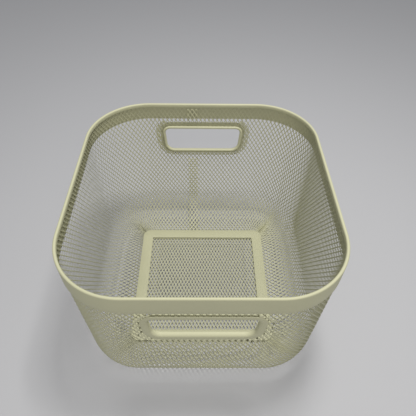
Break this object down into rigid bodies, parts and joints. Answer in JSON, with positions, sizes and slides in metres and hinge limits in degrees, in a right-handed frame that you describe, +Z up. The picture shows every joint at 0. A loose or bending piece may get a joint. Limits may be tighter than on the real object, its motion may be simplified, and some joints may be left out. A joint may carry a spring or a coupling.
{
  "type": "metal mesh basket",
  "caption": "Open square storage basket of painted expanded mesh with rounded corners, a folded sheet rim, a framed floor and hand slots in two walls.",
  "frame": {"origin": "middle of the footprint, on the surface that the basket stands on", "axes": "+Z up, X along the two walls with hand slots, front wall faces -Y, the mesh seam is in the back wall"},
  "size_m": [0.25, 0.26, 0.18],
  "materials": {
    "mesh_paint": "satin sage green paint on expanded steel mesh",
    "rim_paint": "satin sage green paint on folded sheet",
    "frame_paint": "satin sage green paint on flat strip",
    "ring_paint": "satin sage green paint on pressed sheet",
    "wire": "bare drawn wire, out of sight"
  },
  "bodies": {
    "root": {"wall_mesh": "mesh_paint", "seam_upper": "mesh_paint", "seam_lower": "mesh_paint", "floor_mesh": "mesh_paint", "front_slot_hem": "mesh_paint", "back_slot_hem": "mesh_paint", "rim_band": "rim_paint", "rim_wire": "wire", "floor_frame": "frame_paint", "base_frame": "frame_paint", "front_slot_ring": "ring_paint", "back_slot_ring": "ring_paint"}
  },
  "joints": []
}
